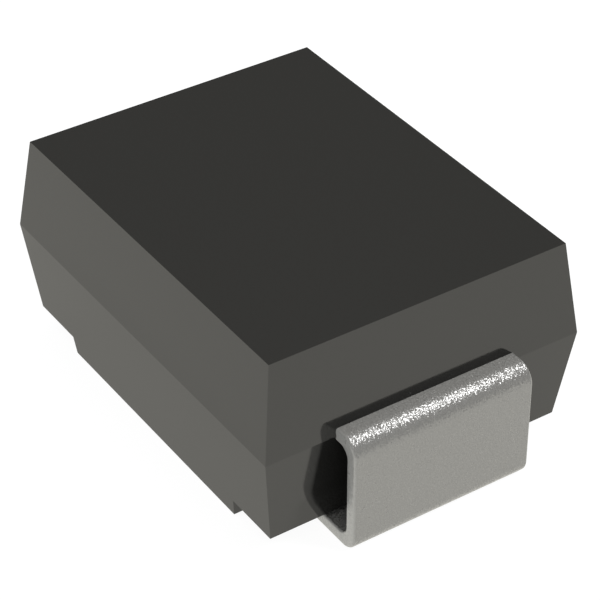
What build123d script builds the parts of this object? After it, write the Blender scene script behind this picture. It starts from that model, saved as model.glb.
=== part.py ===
from build123d import *
import os
from math import atan2, radians, tan

os.makedirs("parts", exist_ok=True)

# A two-terminal surface-mount diode: a moulded case, two J-formed leads, and the chip soldered between
# their inner ends. Millimetres, +Z up. Z = 0 is the soles of the feet. The lower lead leaves the case
# at +X and the upper lead at -X.

# Moulded case, sized at its parting line
case_length = 4.57
case_width = 3.56
upper_height = 1.015        # parting line to the flat top
lower_height = 1.016        # parting line to the underside above the feet
draft_angle = 7             # degrees from vertical, on every moulded wall
belly_standoff = 0.010      # centre pad's flat above the soles
foot_clearance = 0.113      # foot's tip to the centre pad, at the height of the end recess

# Lead strip
strip_width = 2.03
strip_thickness = 0.136
strip_rise = 0.014          # middle of the strip above the parting line where it leaves the case
strip_edge_radius = 0.025   # on the long edges
leg_clearance = 0.165       # case's end at the parting line to the leg's inner face
shoulder_inner_radius = 0.110
shoulder_outer_radius = 0.195  # below inner radius plus thickness, as the bends are pressed full
heel_inner_radius = 0.115
heel_outer_radius = 0.182
foot_length = 0.95          # leg's outer face to the foot's tip
foot_gap = 0.073            # foot's upper face to the case above it

# Inner end of each lead
paddle_margin = 0.05        # paddle's border round the chip
paddle_corner_radius = 0.15
jog_setback = 0.05          # paddle's edge to the start of the jog
jog_run = 0.30              # length of the jog along X
jog_inner_radius = 0.07
platform_diameter = 1.40    # embossed face that the chip is soldered to
platform_height = 0.060
dimple_inset = 0.030        # dimple's wall inside the platform's, from the punch
anchor_setback = 0.36       # case's end to the middle of the anchor slot
anchor_length = 1.00        # slot across the strip, over its round ends
anchor_width = 0.26

# Chip, with a mesa on each face, and its solder
chip_side = 2.20
chip_thickness = 0.30       # over both mesas
moat_depth = 0.07
moat_width = 0.20           # chip's edge to the foot of the mesa
mesa_corner_radius = 0.20   # at the foot of the mesa
mesa_slope = 40             # degrees from vertical
solder_thickness = 0.035
solder_slope = 45           # degrees from vertical, the solder's spread towards the chip

# Heights above the soles
recess_height = strip_thickness + foot_gap
parting_height = recess_height + lower_height
shelf_height = parting_height + strip_rise
paddle_offset = chip_thickness / 2 + solder_thickness + platform_height + strip_thickness / 2
moat_floor = chip_thickness / 2 - moat_depth

# Reaches along X
case_end = case_length / 2
leg_inner = case_end + leg_clearance
leg_outer = leg_inner + strip_thickness
foot_tip = leg_outer - foot_length
belly_end = foot_tip - foot_clearance
anchor_middle = case_end - anchor_setback
paddle_side = chip_side + 2 * paddle_margin
paddle_end = paddle_side / 2
jog_start = paddle_end + jog_setback
jog_end = jog_start + jog_run

# Mesa outlines
mesa_side = chip_side - 2 * moat_width
mesa_inset = moat_depth * tan(radians(mesa_slope))

position_tolerance = 0.0001  # for picking edges by their place


def chip_plane(offset_up):
    """Level plane at a height above the middle of the chip."""
    return Plane.XY.offset(parting_height + offset_up)


def formed_lead(end, chip_side_up):
    """One lead. end is the sign of X at its foot, chip_side_up the sign of Z from paddle to chip."""
    half = strip_thickness / 2
    shelf_top = shelf_height + half
    shelf_underside = shelf_height - half
    paddle_height = parting_height - chip_side_up * paddle_offset
    chip_face = paddle_height + chip_side_up * half
    far_face = paddle_height - chip_side_up * half
    jog_rise = shelf_height - paddle_height
    mitre = half * tan(atan2(jog_rise, jog_run) / 2)
    jog_outer_radius = jog_inner_radius + strip_thickness
    start_top_radius = jog_inner_radius if jog_rise > 0 else jog_outer_radius
    end_top_radius = jog_outer_radius if jog_rise > 0 else jog_inner_radius
    strip_ends = (end * foot_tip, -end * paddle_end)

    # Corners of the strip's side profile as (x, z, radius of the bend there)
    profile = [
        (foot_tip, 0, 0),
        (leg_outer, 0, heel_outer_radius),
        (leg_outer, shelf_top, shoulder_outer_radius),
        (jog_end - mitre, shelf_top, end_top_radius),
        (jog_start - mitre, paddle_height + half, start_top_radius),
        (-paddle_end, paddle_height + half, 0),
        (-paddle_end, paddle_height - half, 0),
        (jog_start + mitre, paddle_height - half, end_top_radius),
        (jog_end + mitre, shelf_underside, start_top_radius),
        (leg_inner, shelf_underside, shoulder_inner_radius),
        (leg_inner, strip_thickness, heel_inner_radius),
        (foot_tip, strip_thickness, 0),
    ]

    def is_long_edge(edge):
        """True for an edge along the strip's side faces, and false for the short ones at its ends."""
        middle = edge.center()
        on_side = abs(abs(middle.Y) - strip_width / 2) < position_tolerance
        at_end = any(abs(middle.X - place) < position_tolerance for place in strip_ends)
        return on_side and not at_end

    with BuildPart() as lead:
        # Strip's side profile, drawn square and then bent to its radii
        with BuildSketch(Plane.XZ) as side:
            with BuildLine():
                Polyline([(end * x, z) for x, z, _ in profile], close=True)
            make_face()
            for x, z, radius in profile:
                if radius > 0:
                    fillet(side.vertices().sort_by_distance((end * x, z))[0], radius)
        extrude(amount=strip_width / 2, both=True)
        fillet(lead.edges().filter_by(is_long_edge), strip_edge_radius)

        # Paddle over the whole chip
        with BuildSketch(Plane.XY.offset(paddle_height)):
            RectangleRounded(paddle_side, paddle_side, paddle_corner_radius)
        extrude(amount=half, both=True)

        # Platform pushed out towards the chip, and the dimple that the punch leaves behind it
        with BuildSketch(Plane.XY.offset(chip_face)):
            Circle(platform_diameter / 2)
        extrude(amount=chip_side_up * platform_height)
        with BuildSketch(Plane.XY.offset(far_face)):
            Circle(platform_diameter / 2 - dimple_inset)
        extrude(amount=chip_side_up * platform_height, mode=Mode.SUBTRACT)

        # Anchor slot that the moulding flows through
        with BuildSketch(Plane.XY.offset(shelf_height)):
            with Locations((end * anchor_middle, 0)):
                SlotOverall(anchor_length, anchor_width, rotation=90)
        extrude(amount=strip_thickness, both=True, mode=Mode.SUBTRACT)
    return lead


# Lower lead: foot at +X, paddle under the chip
lower_lead = formed_lead(end=1, chip_side_up=1)
lower_lead.part.label = "lower_lead"
export_step(lower_lead.part, "parts/lower_lead.step")

# Upper lead: foot at -X, paddle over the chip
upper_lead = formed_lead(end=-1, chip_side_up=-1)
upper_lead.part.label = "upper_lead"
export_step(upper_lead.part, "parts/upper_lead.step")

# Silicon chip: a square core with a mesa left standing on each face
with BuildPart() as silicon_chip:
    with BuildSketch(chip_plane(0)):
        Rectangle(chip_side, chip_side)
    extrude(amount=moat_floor, both=True)
    for face in (-1, 1):
        with BuildSketch(chip_plane(face * moat_floor)):
            RectangleRounded(mesa_side, mesa_side, mesa_corner_radius)
        with BuildSketch(chip_plane(face * chip_thickness / 2)):
            RectangleRounded(mesa_side, mesa_side, mesa_corner_radius)
            offset(amount=-mesa_inset, mode=Mode.REPLACE)
        loft(ruled=True)
silicon_chip.part.label = "silicon_chip"
export_step(silicon_chip.part, "parts/silicon_chip.step")


def glass_ring(face):
    """Fired glass that fills the moat round one mesa, flush with the mesa's face."""
    with BuildPart() as ring:
        with BuildSketch(chip_plane(face * moat_floor)):
            Rectangle(chip_side, chip_side)
        extrude(amount=face * moat_depth)
        add(silicon_chip.part, mode=Mode.SUBTRACT)
    return ring


lower_glass = glass_ring(face=-1)
lower_glass.part.label = "lower_glass"
export_step(lower_glass.part, "parts/lower_glass.step")

upper_glass = glass_ring(face=1)
upper_glass.part.label = "upper_glass"
export_step(upper_glass.part, "parts/upper_glass.step")


def solder_disc(face):
    """Solder between a platform and a mesa, spreading from the platform's rim towards the chip."""
    with BuildPart() as disc:
        with BuildSketch(chip_plane(face * (chip_thickness / 2 + solder_thickness))):
            Circle(platform_diameter / 2)
        extrude(amount=-face * solder_thickness, taper=-solder_slope)
    return disc


lower_solder = solder_disc(face=-1)
lower_solder.part.label = "lower_solder"
export_step(lower_solder.part, "parts/lower_solder.step")

upper_solder = solder_disc(face=1)
upper_solder.part.label = "upper_solder"
export_step(upper_solder.part, "parts/upper_solder.step")

inner_pieces = [lower_lead, upper_lead, silicon_chip, lower_glass, upper_glass, lower_solder, upper_solder]

# Moulded case: two drafted halves that meet at the parting line, moulded round everything inside
with BuildPart() as moulded_case:
    with BuildSketch(Plane.XY.offset(parting_height)) as parting_outline:
        Rectangle(case_length, case_width)
    extrude(amount=upper_height, taper=draft_angle)
    extrude(parting_outline.sketch, amount=belly_standoff - parting_height, taper=draft_angle)

    # End recesses over the feet, which leave the drafted centre pad standing
    with BuildSketch(Plane.XZ):
        with BuildLine():
            Polyline(
                (belly_end, recess_height),
                (case_end, recess_height),
                (case_end, 0),
                (belly_end - recess_height * tan(radians(draft_angle)), 0),
                close=True,
            )
        make_face()
        mirror(about=Plane.YZ)
    extrude(amount=case_width, both=True, mode=Mode.SUBTRACT)

    # The room that the leads and the chip's stack take inside
    for piece in inner_pieces:
        add(piece.part, mode=Mode.SUBTRACT)
moulded_case.part.label = "moulded_case"
export_step(moulded_case.part, "parts/moulded_case.step")
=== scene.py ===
from math import atan2, degrees, pi, radians, tan

import bmesh
import bpy
from mathutils import Matrix, Vector


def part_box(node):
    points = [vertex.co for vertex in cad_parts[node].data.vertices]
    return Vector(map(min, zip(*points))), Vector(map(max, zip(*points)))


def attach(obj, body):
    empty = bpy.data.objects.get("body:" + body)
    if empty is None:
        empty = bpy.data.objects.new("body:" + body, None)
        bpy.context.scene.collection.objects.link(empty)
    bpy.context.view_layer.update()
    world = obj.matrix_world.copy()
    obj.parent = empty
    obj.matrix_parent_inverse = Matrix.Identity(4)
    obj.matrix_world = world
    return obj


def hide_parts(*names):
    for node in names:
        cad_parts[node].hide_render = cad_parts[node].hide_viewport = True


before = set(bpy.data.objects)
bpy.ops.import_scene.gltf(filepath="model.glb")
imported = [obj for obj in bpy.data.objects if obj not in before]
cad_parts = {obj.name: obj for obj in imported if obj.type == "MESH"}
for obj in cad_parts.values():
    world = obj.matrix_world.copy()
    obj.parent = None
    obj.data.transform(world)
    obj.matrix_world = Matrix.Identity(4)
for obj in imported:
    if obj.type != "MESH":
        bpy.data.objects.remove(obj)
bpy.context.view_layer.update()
mm = 0.001               # sizes in the dictionaries are millimetres
white = (1.0, 1.0, 1.0)
print("frame loaded:", ", ".join(sorted(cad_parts)))


# Node helpers

noiseRange = (0.3, 0.7)  # most of a noise texture's values lie between these


def newMaterial(name):
    material = bpy.data.materials.new(name)
    material.use_nodes = True
    shader = material.node_tree.nodes["Principled BSDF"]
    return material, material.node_tree, shader


def addNode(tree, kind, **settings):
    node = tree.nodes.new(kind)
    for key, value in settings.items():
        setattr(node, key, value)
    return node


def feed(tree, value, socket):
    # Links another node's output, and sets a number or a colour
    if isinstance(value, bpy.types.NodeSocket):
        tree.links.new(value, socket)
    else:
        socket.default_value = value


def feedAll(tree, node, values):
    for name, value in values.items():
        feed(tree, value, node.inputs[name])


def objectPoints(tree):
    return addNode(tree, "ShaderNodeTexCoord").outputs["Object"]


def noise(tree, points, grain, detail, output="Fac"):
    # grain is the size of one lump
    node = addNode(tree, "ShaderNodeTexNoise")
    feedAll(tree, node, {"Vector": points, "Scale": 1.0 / (grain * mm), "Detail": detail})
    return node.outputs[output]


def spread(tree, value, toRange, fromRange=noiseRange, interpolation="LINEAR"):
    node = addNode(tree, "ShaderNodeMapRange", interpolation_type=interpolation)
    feedAll(tree, node, {
        "Value": value,
        "From Min": fromRange[0],
        "From Max": fromRange[1],
        "To Min": toRange[0],
        "To Max": toRange[1],
    })
    return node.outputs["Result"]


def tone(tree, value, dark, light):
    node = addNode(tree, "ShaderNodeMix", data_type="RGBA")
    share = spread(tree, value, (0.0, 1.0))
    feedAll(tree, node, {"Factor": share, "A": (*dark, 1.0), "B": (*light, 1.0)})
    return node.outputs["Result"]


def bump(tree, height, depth, strength):
    node = addNode(tree, "ShaderNodeBump")
    feedAll(tree, node, {"Height": height, "Distance": depth * mm, "Strength": strength})
    return node.outputs["Normal"]


def maths(tree, operation, first, second):
    node = addNode(tree, "ShaderNodeMath", operation=operation)
    feed(tree, first, node.inputs[0])
    feed(tree, second, node.inputs[1])
    return node.outputs[0]


def vectorMath(tree, operation, first, second=None):
    node = addNode(tree, "ShaderNodeVectorMath", operation=operation)
    feed(tree, first, node.inputs[0])
    if second is not None:
        feed(tree, second, node.inputs[1])
    return node


# Moulding compound: black epoxy full of fine silica, under the skin of resin that a mould leaves

compoundLook = {
    "darkGrey": (0.0128, 0.0127, 0.0117),
    "lightGrey": (0.0146, 0.0145, 0.0134),
    "fillerGrain": 0.035,
    "flowGrain": 0.9,
    "roughness": (0.55, 0.70),
    "skin": 0.495,
    "skinIndex": 2.1,
    "skinRoughness": 0.08,
    "skinDepth": 0.0004,
    "skinStrength": 0.10,
}


def mouldingCompound(look):
    material, tree, shader = newMaterial("mouldingCompound")
    points = objectPoints(tree)
    filler = noise(tree, points, look["fillerGrain"], detail=3.0)
    flow = noise(tree, points, look["flowGrain"], detail=1.0)
    relief = bump(tree, filler, look["skinDepth"], look["skinStrength"])
    feedAll(tree, shader, {
        "Base Color": tone(tree, filler, look["darkGrey"], look["lightGrey"]),
        "Roughness": spread(tree, flow, look["roughness"]),
        "Normal": relief,
        "Specular IOR Level": 0.0,     # all the gloss is the skin's
        "Coat Weight": look["skin"],
        "Coat IOR": look["skinIndex"],
        "Coat Roughness": look["skinRoughness"],
        "Coat Normal": relief,
    })
    return material


# Tin plate on copper: matte and grained, and each grain has its own slope, so that bends sparkle

tinLook = {
    "dullTin": (0.183, 0.180, 0.170),
    "brightTin": (0.204, 0.201, 0.191),
    "grain": 0.015,
    "patch": 0.10,
    "patchDepth": 0.0020,
    "patchStrength": 0.3,
    "roughness": (0.27, 0.32),
    "metallic": 0.10,
    "index": 1.8,
    "flash": 0.60,
    "flashRoughness": 0.30,
    "flatTilt": 0.42,          # a grain's greatest slope
    "sideTilt": 0.20,          # the same on the strip's sheared sides, which are smoother
    "sideTurn": (0.2, 0.9),    # squared Y of the normal, from the one tilt to the other
}


def tiltedGrains(tree, points, look, under):
    # Turns the normal of each grain its own way
    lumps = noise(tree, points, look["grain"], detail=0.0, output="Color")
    middle = (0.5, 0.5, 0.5)
    turn = vectorMath(tree, "SUBTRACT", lumps, middle).outputs["Vector"]    # up to a half either way
    facing = addNode(tree, "ShaderNodeTexCoord").outputs["Normal"]
    alongY = vectorMath(tree, "DOT_PRODUCT", facing, (0, 1, 0)).outputs["Value"]
    tilts = (2 * look["flatTilt"], 2 * look["sideTilt"])
    lean = vectorMath(tree, "SCALE", turn)
    slope = spread(tree, maths(tree, "MULTIPLY", alongY, alongY), tilts, look["sideTurn"])
    feed(tree, slope, lean.inputs["Scale"])
    leaning = vectorMath(tree, "ADD", under, lean.outputs["Vector"]).outputs["Vector"]
    return vectorMath(tree, "NORMALIZE", leaning).outputs["Vector"]


def tinPlate(look):
    material, tree, shader = newMaterial("tinPlate")
    points = objectPoints(tree)
    grain = noise(tree, points, look["grain"], detail=2.0)
    patch = noise(tree, points, look["patch"], detail=2.0)
    broad = bump(tree, patch, look["patchDepth"], look["patchStrength"])
    fine = tiltedGrains(tree, points, look, broad)
    feedAll(tree, shader, {
        "Base Color": tone(tree, grain, look["dullTin"], look["brightTin"]),
        "Roughness": spread(tree, patch, look["roughness"]),
        "Normal": fine,
        "Metallic": look["metallic"],
        "IOR": look["index"],
        "Coat Weight": look["flash"],
        "Coat Roughness": look["flashRoughness"],
        "Coat Normal": fine,
    })
    return material


# Inner pieces: lapped silicon, fired glass and reflowed solder

innerLooks = {
    "lappedSilicon": {
        "dark": (0.090, 0.093, 0.105),
        "light": (0.150, 0.154, 0.170),
        "grain": 0.030,
        "patch": 0.150,
        "roughness": (0.28, 0.42),
        "depth": 0.0010,
        "strength": 0.6,
        "metallic": 0.60,
    },
    "firedGlass": {
        "dark": (0.330, 0.300, 0.220),
        "light": (0.450, 0.420, 0.330),
        "grain": 0.080,
        "patch": 0.400,
        "roughness": (0.10, 0.24),
        "depth": 0.0015,
        "strength": 0.6,
        "metallic": 0.0,
    },
    "reflowedSolder": {
        "dark": (0.360, 0.355, 0.335),
        "light": (0.500, 0.495, 0.470),
        "grain": 0.050,
        "patch": 0.250,
        "roughness": (0.25, 0.45),
        "depth": 0.0030,
        "strength": 0.6,
        "metallic": 0.85,
    },
}


def grained(name, look):
    material, tree, shader = newMaterial(name)
    points = objectPoints(tree)
    grain = noise(tree, points, look["grain"], detail=3.0)
    patch = noise(tree, points, look["patch"], detail=2.0)
    feedAll(tree, shader, {
        "Base Color": tone(tree, grain, look["dark"], look["light"]),
        "Roughness": spread(tree, patch, look["roughness"]),
        "Normal": bump(tree, grain, look["depth"], look["strength"]),
        "Metallic": look["metallic"],
    })
    return material


compound = mouldingCompound(compoundLook)
tin = tinPlate(tinLook)
inner = {name: grained(name, look) for name, look in innerLooks.items()}
print("materials made")


def dress(thing, material):
    thing.data.materials.clear()
    thing.data.materials.append(material)


# Formed leads: strip along the side profile, paddle, platform, dimple and anchor slot

leadForm = {
    "stripWidth": 2.03,
    "stripThickness": 0.136,
    "edgeRadius": 0.025,
    "edgeSteps": 5,
    "shoulderInside": 0.110,   # radii of the two faces of each bend
    "shoulderOutside": 0.195,
    "heelInside": 0.115,
    "heelOutside": 0.182,
    "jogInside": 0.070,
    "bendStep": 5,             # degrees a step
    "footLength": 0.95,
    "jogSetback": 0.05,
    "jogRun": 0.30,
    "paddleCorner": 0.15,
    "paddleSteps": 8,
    "platformDiameter": 1.40,
    "platformHeight": 0.060,
    "dimpleInset": 0.030,
    "discSteps": 72,
    "anchorSetback": 0.36,
    "anchorLength": 1.00,
    "anchorWidth": 0.26,
    "anchorSteps": 12,
    "straightBelow": 0.5,      # degrees, a corner that isn't one
    "sharpAbove": 35,          # degrees, an edge that isn't shaded smooth
}
mergeDistance = 1e-8           # metres
samePlace = 1e-7               # metres
sideways = 0.9                 # least Y in the normal of the strip's side faces


def leftward(heading):
    return Vector((-heading.z, 0, heading.x))


def runOn(bm, front, heading, length):
    # Draws the strip's side profile straight on
    made = bmesh.ops.spin(bm, geom=front, cent=(0, 0, 0), axis=(0, 1, 0), dvec=heading * length,
                          angle=0, steps=1, use_duplicate=False)
    return made["geom_last"]


def turnSquare(bm, front, heading, form):
    # Adds a square corner block and turns left out of it
    def leftmost(items):
        verts = [item for item in items if isinstance(item, bmesh.types.BMVert)]
        return max(verts, key=lambda vert: vert.co.dot(leftward(heading)))
    near = leftmost(front)
    far = leftmost(runOn(bm, front, heading, form["stripThickness"] * mm))
    return [near, far, bm.edges.get((near, far))], leftward(heading)


def bendOn(bm, front, heading, turn, insideRadius, form):
    # Draws the profile round a bend of even thickness, turn in radians, positive to the left
    edge = [item for item in front if isinstance(item, bmesh.types.BMEdge)][0]
    middle = (edge.verts[0].co + edge.verts[1].co) / 2
    inward = leftward(heading) * (1 if turn > 0 else -1)
    centre = middle + inward * (insideRadius + form["stripThickness"] / 2) * mm
    steps = max(2, round(abs(degrees(turn)) / form["bendStep"]))
    made = bmesh.ops.spin(bm, geom=front, cent=centre, axis=(0, -1, 0), dvec=(0, 0, 0), angle=turn,
                          steps=steps, use_duplicate=False)
    return made["geom_last"], Matrix.Rotation(turn, 3, (0, -1, 0)) @ heading


def roundEdges(bm, edges, radius, steps):
    bmesh.ops.bevel(bm, geom=edges, offset=radius, offset_type="OFFSET", segments=steps,
                    profile=0.5, affect="EDGES", material=-1, clamp_overlap=False)


def stripMesh(form, legOuter, shelfMiddle, paddleMiddle, paddleEnd):
    thickness = form["stripThickness"] * mm
    jogRun = form["jogRun"] * mm
    jogSetback = form["jogSetback"] * mm
    jogEnd = paddleEnd + jogSetback + jogRun
    drop = shelfMiddle - paddleMiddle
    jogAngle = atan2(drop, jogRun)
    jogMiddleRadius = form["jogInside"] * mm + thickness / 2
    tangent = jogMiddleRadius * tan(abs(jogAngle) / 2)
    footTip = legOuter - form["footLength"] * mm
    legInner = legOuter - thickness
    shelfTop = shelfMiddle + thickness / 2
    shelfUnderside = shelfMiddle - thickness / 2

    # Side profile with a square heel and shoulder, from the foot's tip to inside the paddle
    bm = bmesh.new()
    y = -form["stripWidth"] * mm / 2
    sole = bm.verts.new((footTip, y, 0))
    upper = bm.verts.new((footTip, y, thickness))
    front = [sole, upper, bm.edges.new((sole, upper))]
    heading = Vector((1, 0, 0))
    front = runOn(bm, front, heading, legInner - footTip)
    front, heading = turnSquare(bm, front, heading, form)
    front = runOn(bm, front, heading, shelfUnderside - thickness)
    front, heading = turnSquare(bm, front, heading, form)
    front = runOn(bm, front, heading, legInner - jogEnd - tangent)
    front, heading = bendOn(bm, front, heading, jogAngle, form["jogInside"], form)
    front = runOn(bm, front, heading, Vector((jogRun, drop)).length - 2 * tangent)
    front, heading = bendOn(bm, front, heading, -jogAngle, form["jogInside"], form)
    runOn(bm, front, heading, jogSetback - tangent + form["paddleCorner"] * mm)
    bmesh.ops.remove_doubles(bm, verts=bm.verts[:], dist=mergeDistance)
    bmesh.ops.dissolve_edges(bm, edges=[e for e in bm.edges if len(e.link_faces) == 2])
    straightAngle = radians(form["straightBelow"])
    straight = [v for v in bm.verts if v.calc_edge_angle(0) < straightAngle]
    bmesh.ops.dissolve_verts(bm, verts=straight)

    # Strip's width
    wall = bmesh.ops.extrude_face_region(bm, geom=bm.faces[:])
    moved = [item for item in wall["geom"] if isinstance(item, bmesh.types.BMVert)]
    bmesh.ops.translate(bm, verts=moved, vec=(0, form["stripWidth"] * mm, 0))
    bmesh.ops.recalc_face_normals(bm, faces=bm.faces[:])

    # Heel and shoulder
    def isAt(vert, x, z):
        return abs(vert.co.x - x) + abs(vert.co.z - z) < samePlace
    bends = [
        (legOuter, 0, "heelOutside"),
        (legInner, thickness, "heelInside"),
        (legInner, shelfUnderside, "shoulderInside"),
        (legOuter, shelfTop, "shoulderOutside"),
    ]
    bendSteps = round(90 / form["bendStep"])    # each of them turns square
    for x, z, bend in bends:
        corner = [e for e in bm.edges if all(isAt(v, x, z) for v in e.verts)]
        roundEdges(bm, corner, form[bend] * mm, bendSteps)

    # Long edges, but not the short ones at the foot's tip
    def isLong(edge):
        sides = [abs(face.normal.y) > sideways for face in edge.link_faces]
        atTip = all(abs(v.co.x - footTip) < samePlace for v in edge.verts)
        return sides.count(True) == 1 and not atTip
    longEdges = [e for e in bm.edges if isLong(e)]
    roundEdges(bm, longEdges, form["edgeRadius"] * mm, form["edgeSteps"])
    return bm


def plateMesh(size, centre, cornerRadius, cornerSteps):
    # A flat plate with round corners
    bm = bmesh.new()
    bmesh.ops.create_cube(bm, size=1.0)
    bmesh.ops.scale(bm, vec=size, verts=bm.verts[:])
    upright = [e for e in bm.edges if abs(e.verts[0].co.z - e.verts[1].co.z) > samePlace]
    roundEdges(bm, upright, cornerRadius, cornerSteps)
    bmesh.ops.translate(bm, verts=bm.verts[:], vec=centre)
    return bm


def discMesh(diameter, oneFace, otherFace, steps):
    # A disc on the Z axis between two heights
    bm = bmesh.new()
    bmesh.ops.create_cone(bm, cap_ends=True, segments=steps, radius1=diameter / 2,
                          radius2=diameter / 2, depth=abs(otherFace - oneFace))
    bmesh.ops.translate(bm, verts=bm.verts[:], vec=(0, 0, (oneFace + otherFace) / 2))
    return bm


def asObject(bm, name):
    mesh = bpy.data.meshes.new(name)
    bm.to_mesh(mesh)
    bm.free()
    thing = bpy.data.objects.new(name, mesh)
    bpy.context.scene.collection.objects.link(thing)
    return thing


def combine(body, tool, operation):
    # Joins tool to body, or cuts it out, and puts the result in body's own mesh
    boolean = body.modifiers.new("combine", "BOOLEAN")
    boolean.operation = operation
    boolean.solver = "EXACT"
    boolean.object = tool
    bpy.context.view_layer.update()
    evaluated = body.evaluated_get(bpy.context.evaluated_depsgraph_get())
    mesh = bpy.data.meshes.new_from_object(evaluated)
    body.modifiers.clear()
    body.data = mesh
    bpy.data.objects.remove(tool)


def closeAndShade(lead, form):
    bm = bmesh.new()
    bm.from_mesh(lead.data)
    bmesh.ops.remove_doubles(bm, verts=bm.verts[:], dist=mergeDistance)
    bmesh.ops.recalc_face_normals(bm, faces=bm.faces[:])
    for face in bm.faces:
        face.smooth = True
    sharpAngle = radians(form["sharpAbove"])
    for edge in bm.edges:
        edge.smooth = len(edge.link_faces) == 2 and edge.calc_face_angle(pi) < sharpAngle
    openEdges = sum(1 for e in bm.edges if len(e.link_faces) != 2)
    print(lead.name, "faces", len(bm.faces), "open edges", openEdges,
          "volume", round(bm.calc_volume() / mm ** 3, 4), "mm3")
    bm.to_mesh(lead.data)
    bm.free()
    weighted = lead.modifiers.new("weightedNormal", "WEIGHTED_NORMAL")
    weighted.keep_sharp = True


def formedLead(name, node, solder, form):
    # Modelled with its foot at +X, from the places of the CAD pieces, and turned round at the end
    low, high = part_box(node)
    solderLow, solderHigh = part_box(solder)
    chipLow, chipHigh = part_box("silicon_chip")
    chipUp = 1 if solderHigh.z < (chipLow.z + chipHigh.z) / 2 else -1
    thickness = form["stripThickness"] * mm
    platformHeight = form["platformHeight"] * mm
    platformDiameter = form["platformDiameter"] * mm
    legOuter = max(high.x, -low.x)
    paddleEnd = min(high.x, -low.x)
    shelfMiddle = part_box("lower_lead")[1].z - thickness / 2    # the lower lead is highest at its shelf
    platformFace = solderLow.z if chipUp > 0 else solderHigh.z
    paddleFace = platformFace - chipUp * platformHeight
    paddleMiddle = paddleFace - chipUp * thickness / 2
    paddleBack = paddleFace - chipUp * thickness
    lead = asObject(stripMesh(form, legOuter, shelfMiddle, paddleMiddle, paddleEnd), name)

    paddle = plateMesh((2 * paddleEnd, 2 * paddleEnd, thickness), (0, 0, paddleMiddle),
                       form["paddleCorner"] * mm, form["paddleSteps"])
    combine(lead, asObject(paddle, "paddle"), "UNION")

    platform = discMesh(platformDiameter, paddleMiddle, platformFace, form["discSteps"])
    combine(lead, asObject(platform, "platform"), "UNION")

    punch = discMesh(platformDiameter - 2 * form["dimpleInset"] * mm, paddleBack - chipUp * thickness,
                     paddleBack + chipUp * platformHeight, form["discSteps"])
    combine(lead, asObject(punch, "punch"), "DIFFERENCE")

    anchorWidth = form["anchorWidth"] * mm
    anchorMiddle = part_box("moulded_case")[1].x - form["anchorSetback"] * mm
    throughStrip = 3 * thickness
    anchor = plateMesh((anchorWidth, form["anchorLength"] * mm, throughStrip),
                       (anchorMiddle, 0, shelfMiddle), anchorWidth / 2, form["anchorSteps"])
    combine(lead, asObject(anchor, "anchor"), "DIFFERENCE")

    if high.x < -low.x:
        lead.data.transform(Matrix.Rotation(pi, 4, "Z"))
    closeAndShade(lead, form)
    dress(lead, tin)
    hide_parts(node)
    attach(lead, "root")
    return lead


formedLeads = [
    formedLead("lower_lead_formed", "lower_lead", "lower_solder", leadForm),
    formedLead("upper_lead_formed", "upper_lead", "upper_solder", leadForm),
]
print("leads formed")


# Materials on the CAD nodes

nodeFinishes = {
    "moulded_case": compound,
    "silicon_chip": inner["lappedSilicon"],
    "lower_glass": inner["firedGlass"],
    "upper_glass": inner["firedGlass"],
    "lower_solder": inner["reflowedSolder"],
    "upper_solder": inner["reflowedSolder"],
}
for node, material in nodeFinishes.items():
    dress(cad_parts[node], material)
print("nodes dressed")


# Floor: white to the camera, dimmer in reflections, with the part's own faint shadow

floorLook = {
    "size": 2000.0,
    "glow": 0.95,                # own light that the camera sees, under the faint shadow
    "shade": 0.08,
    "mirrorGlow": 0.84,          # the same in reflections
    "mirrorFar": 0.20,           # and further off
    "mirrorReach": (8.5, 16.0),  # distances from the part between which the one turns into the other
    "mirrorShade": 0.17,
    "bounceGlow": 0.85,          # for the light that the floor throws back on the part
    "bounceShade": 0.10,
    "warmWhite": (1.0, 0.980, 0.900),
}


def mixed(tree, share, first, second):
    node = addNode(tree, "ShaderNodeMixShader")
    tree.links.new(share, node.inputs[0])
    tree.links.new(first.outputs[0], node.inputs[1])
    tree.links.new(second.outputs[0], node.inputs[2])
    return node


def litWhite(tree, colour, glow, shade):
    # White that glows by itself and also takes some real light and shadow
    paint = addNode(tree, "ShaderNodeBsdfDiffuse")
    feed(tree, (*[shade * part for part in colour], 1.0), paint.inputs["Color"])
    own = addNode(tree, "ShaderNodeEmission")
    feedAll(tree, own, {"Color": (*colour, 1.0), "Strength": glow})
    both = addNode(tree, "ShaderNodeAddShader")
    tree.links.new(paint.outputs[0], both.inputs[0])
    tree.links.new(own.outputs[0], both.inputs[1])
    return both


def rayKinds(tree):
    # The camera's own rays, and those of reflections
    path = addNode(tree, "ShaderNodeLightPath").outputs
    return path["Is Camera Ray"], maths(tree, "MAXIMUM", path["Is Glossy Ray"],
                                        path["Is Transmission Ray"])


def studioFloor(look):
    bm = bmesh.new()
    bmesh.ops.create_grid(bm, x_segments=1, y_segments=1, size=look["size"] * mm / 2)
    floor = asObject(bm, "studioFloor")
    material = bpy.data.materials.new("studioWhite")
    material.use_nodes = True
    tree = material.node_tree
    tree.nodes.clear()
    camera, mirrored = rayKinds(tree)
    shown = litWhite(tree, white, look["glow"], look["shade"])
    distance = vectorMath(tree, "LENGTH", objectPoints(tree)).outputs["Value"]
    near, far = look["mirrorReach"]
    fading = spread(tree, distance, (look["mirrorGlow"], look["mirrorFar"]), (near * mm, far * mm))
    mirror = litWhite(tree, look["warmWhite"], fading, look["mirrorShade"])
    bounced = litWhite(tree, white, look["bounceGlow"], look["bounceShade"])
    output = addNode(tree, "ShaderNodeOutputMaterial")
    surface = mixed(tree, camera, mixed(tree, mirrored, bounced, mirror), shown)
    tree.links.new(surface.outputs[0], output.inputs["Surface"])
    floor.data.materials.append(material)
    return floor


# World: white behind the part, one room for reflections and one for the light on the part

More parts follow.
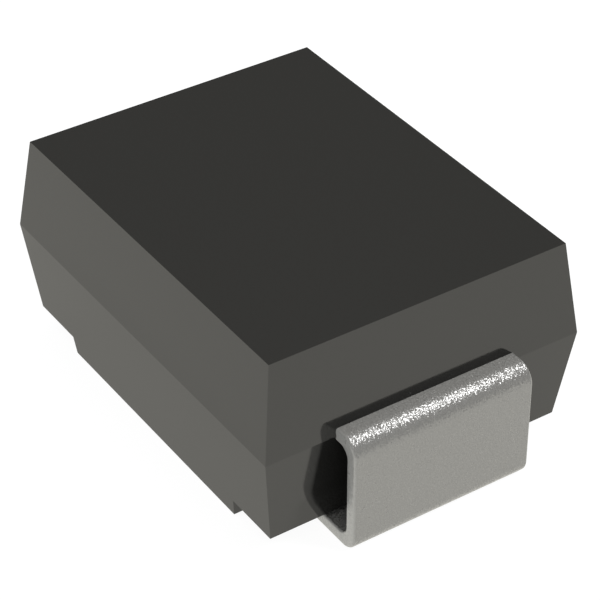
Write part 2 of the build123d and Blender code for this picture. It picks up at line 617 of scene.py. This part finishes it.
roomLook = {
    "mirror": {
        "horizon": 0.40,
        "overhead": 0.02,
        "fade": (-0.02, 0.16),             # sines of the heights between which it changes
        "boxToward": (-0.42, 0.28, 0.86),  # a softbox overhead
        "boxEdge": 0.60,                   # cosine of the angle at which its light starts
        "boxLight": 0.385,
        "colour": (1.0, 0.985, 0.92),
    },
    "fill": {
        "horizon": 0.05,
        "overhead": 1.42,
        "fade": (0.35, 0.90),
        "boxToward": (-0.30, -0.86, -0.42),  # more light from low down on the left
        "boxEdge": 0.0,
        "boxLight": 1.20,
        "colour": white,
    },
}


def roomLight(tree, direction, look):
    split = addNode(tree, "ShaderNodeSeparateXYZ")
    tree.links.new(direction, split.inputs[0])
    levels = (look["horizon"], look["overhead"])
    level = spread(tree, split.outputs["Z"], levels, look["fade"], "SMOOTHSTEP")
    toward = vectorMath(tree, "DOT_PRODUCT", direction, look["boxToward"]).outputs["Value"]
    box = spread(tree, toward, (0.0, look["boxLight"]), (look["boxEdge"], 1.0))
    light = addNode(tree, "ShaderNodeBackground")
    strength = maths(tree, "ADD", level, box)
    feedAll(tree, light, {"Color": (*look["colour"], 1.0), "Strength": strength})
    return light


def studioRoom(look):
    world = bpy.data.worlds.new("studioRoom")
    bpy.context.scene.world = world
    world.use_nodes = True
    tree = world.node_tree
    tree.nodes.clear()
    direction = addNode(tree, "ShaderNodeTexCoord").outputs["Generated"]
    fill = roomLight(tree, direction, look["fill"])
    mirror = roomLight(tree, direction, look["mirror"])
    backdrop = addNode(tree, "ShaderNodeBackground")
    feed(tree, (*white, 1.0), backdrop.inputs["Color"])
    camera, mirrored = rayKinds(tree)
    lit = mixed(tree, mirrored, fill, mirror)
    output = addNode(tree, "ShaderNodeOutputWorld")
    tree.links.new(mixed(tree, camera, lit, backdrop).outputs[0], output.inputs["Surface"])


# Lamps: a small key high on the camera's right, which the bends catch, one like it for the shadow on
# the floor, and a low card on the left for the leads' sides. Only the room and floor light the case.

lampSet = {
    "key": {
        "toward": (0.17, 0.50, 0.87),
        "distance": 150.0,
        "size": 42.0,
        "power": 0.162,
        "colour": white,
        "mirrored": True,
    },
    "floorKey": {
        "toward": (0.50, 0.45, 0.80),
        "distance": 150.0,
        "size": 42.0,
        "power": 0.162,
        "colour": white,
        "mirrored": True,
    },
    "card": {
        "toward": (0.15, -0.985, 0.02),
        "distance": 150.0,
        "size": 12.0,
        "power": 0.188,
        "colour": (0.95, 0.985, 1.0),
        "mirrored": False,
    },
}


def lamp(name, plan, lit):
    data = bpy.data.lights.new(name, "AREA")
    data.shape = "DISK"
    data.size = plan["size"] * mm
    data.energy = plan["power"]
    data.color = plan["colour"]
    thing = bpy.data.objects.new(name, data)
    bpy.context.scene.collection.objects.link(thing)
    toward = Vector(plan["toward"]).normalized()
    thing.location = toward * plan["distance"] * mm
    thing.rotation_mode = "QUATERNION"
    thing.rotation_quaternion = toward.to_track_quat("Z", "Y")
    thing.visible_glossy = plan["mirrored"]
    receivers = bpy.data.collections.new(name + "Receivers")
    for receiver in lit:
        receivers.objects.link(receiver)
    thing.light_linking.receiver_collection = receivers


# Camera, where the photograph's was

cameraPlan = {
    "place": (15.7433, -10.4228, 14.9168),
    "forward": (-0.66771, 0.44718, -0.59514),
    "lens": 141.76,
    "sensor": 36.0,
    "nearest": 1.0,
    "furthest": 5000.0,
}


def photoCamera(plan):
    data = bpy.data.cameras.new("photoCamera")
    data.lens = plan["lens"]
    data.sensor_width = plan["sensor"]
    data.clip_start = plan["nearest"] * mm
    data.clip_end = plan["furthest"] * mm
    thing = bpy.data.objects.new("photoCamera", data)
    bpy.context.scene.collection.objects.link(thing)
    thing.location = Vector(plan["place"]) * mm
    thing.rotation_mode = "QUATERNION"
    thing.rotation_quaternion = Vector(plan["forward"]).to_track_quat("-Z", "Y")
    bpy.context.scene.camera = thing


floor = studioFloor(floorLook)
studioRoom(roomLook)
lamp("key", lampSet["key"], formedLeads)
lamp("floorKey", lampSet["floorKey"], [floor])
lamp("card", lampSet["card"], formedLeads)
photoCamera(cameraPlan)
bpy.context.scene.view_settings.view_transform = "Standard"
print("studio set")
